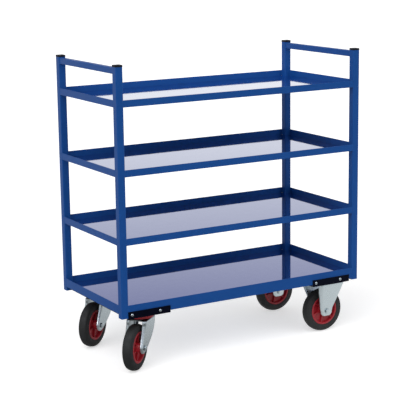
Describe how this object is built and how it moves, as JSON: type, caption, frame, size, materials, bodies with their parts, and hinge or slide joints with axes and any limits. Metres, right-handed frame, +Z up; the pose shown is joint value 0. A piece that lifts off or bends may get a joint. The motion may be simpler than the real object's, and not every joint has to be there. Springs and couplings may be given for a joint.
{
  "type": "shelf trolley",
  "caption": "Hand trolley with flat metal shelves in a square tube frame, a push bar at each end, and swivel casters at one end and fixed casters at the other.",
  "frame": {"origin": "on the floor, in the middle of the space that the trolley takes up", "axes": "+X along the trolley towards the end with the fixed casters, +Y from the front to the rear, +Z up"},
  "size_m": [1.2238, 0.6104, 1.3],
  "materials": {
    "blue_paint": "glossy",
    "black_plastic": "satin",
    "zinc_sheet": "bright",
    "black_paint": "satin",
    "zinc_steel": "satin",
    "red_plastic": "satin",
    "tyre_rubber": "matte"
  },
  "bodies": {
    "chassis": {"front_left_post": "blue_paint", "rear_left_post": "blue_paint", "front_right_post": "blue_paint", "rear_right_post": "blue_paint", "front_left_post_cap": "black_plastic", "rear_left_post_cap": "black_plastic", "front_right_post_cap": "black_plastic", "rear_right_post_cap": "black_plastic", "left_handle_bar": "blue_paint", "right_handle_bar": "blue_paint", "shelf_1_front_rail": "blue_paint", "shelf_1_rear_rail": "blue_paint", "shelf_1_left_rail": "blue_paint", "shelf_1_right_rail": "blue_paint", "shelf_2_front_rail": "blue_paint", "shelf_2_rear_rail": "blue_paint", "shelf_2_left_rail": "blue_paint", "shelf_2_right_rail": "blue_paint", "shelf_3_front_rail": "blue_paint", "shelf_3_rear_rail": "blue_paint", "shelf_3_left_rail": "blue_paint", "shelf_3_right_rail": "blue_paint", "shelf_4_front_rail": "blue_paint", "shelf_4_rear_rail": "blue_paint", "shelf_4_left_rail": "blue_paint", "shelf_4_right_rail": "blue_paint", "shelf_1_panel": "zinc_sheet", "shelf_2_panel": "zinc_sheet", "shelf_3_panel": "zinc_sheet", "shelf_4_panel": "zinc_sheet", "left_caster_channel": "black_paint", "right_caster_channel": "black_paint", "front_left_channel_screw_1": "zinc_steel", "front_left_channel_screw_2": "zinc_steel", "rear_left_channel_screw_1": "zinc_steel", "rear_left_channel_screw_2": "zinc_steel", "front_right_channel_screw_1": "zinc_steel", "front_right_channel_screw_2": "zinc_steel", "rear_right_channel_screw_1": "zinc_steel", "rear_right_channel_screw_2": "zinc_steel", "front_left_swivel_plate": "zinc_steel", "rear_left_swivel_plate": "zinc_steel", "front_left_seal_ring": "red_plastic", "rear_left_seal_ring": "red_plastic", "front_right_fork": "zinc_steel", "rear_right_fork": "zinc_steel", "front_right_axle": "zinc_steel", "rear_right_axle": "zinc_steel"},
    "front_left_swivel_fork": {"front_left_fork": "zinc_steel", "front_left_axle": "zinc_steel"},
    "front_left_wheel": {"front_left_rim": "red_plastic", "front_left_tyre": "tyre_rubber"},
    "rear_left_swivel_fork": {"rear_left_fork": "zinc_steel", "rear_left_axle": "zinc_steel"},
    "rear_left_wheel": {"rear_left_rim": "red_plastic", "rear_left_tyre": "tyre_rubber"},
    "front_right_wheel": {"front_right_rim": "red_plastic", "front_right_tyre": "tyre_rubber"},
    "rear_right_wheel": {"rear_right_rim": "red_plastic", "rear_right_tyre": "tyre_rubber"}
  },
  "joints": [
    {"name": "front_left_swivel", "type": "hinge", "parent": "chassis", "child": "front_left_swivel_fork", "pos_m": [-0.46468, -0.18676, 0.213], "axis": [0, 0, 1], "continuous": true},
    {"name": "front_left_wheel_spin", "type": "hinge", "parent": "front_left_swivel_fork", "child": "front_left_wheel", "pos_m": [-0.51978, -0.23154, 0.1], "axis": [-0.6307, 0.776, 0], "continuous": true},
    {"name": "rear_left_swivel", "type": "hinge", "parent": "chassis", "child": "rear_left_swivel_fork", "pos_m": [-0.46468, 0.20924, 0.213], "axis": [0, 0, 1], "continuous": true},
    {"name": "rear_left_wheel_spin", "type": "hinge", "parent": "rear_left_swivel_fork", "child": "rear_left_wheel", "pos_m": [-0.52319, 0.16902, 0.1], "axis": [-0.5664, 0.8241, 0], "continuous": true},
    {"name": "front_right_wheel_spin", "type": "hinge", "parent": "chassis", "child": "front_right_wheel", "pos_m": [0.47532, -0.18676, 0.1], "axis": [0, 1, 0], "continuous": true},
    {"name": "rear_right_wheel_spin", "type": "hinge", "parent": "chassis", "child": "rear_right_wheel", "pos_m": [0.47532, 0.20924, 0.1], "axis": [0, 1, 0], "continuous": true}
  ]
}
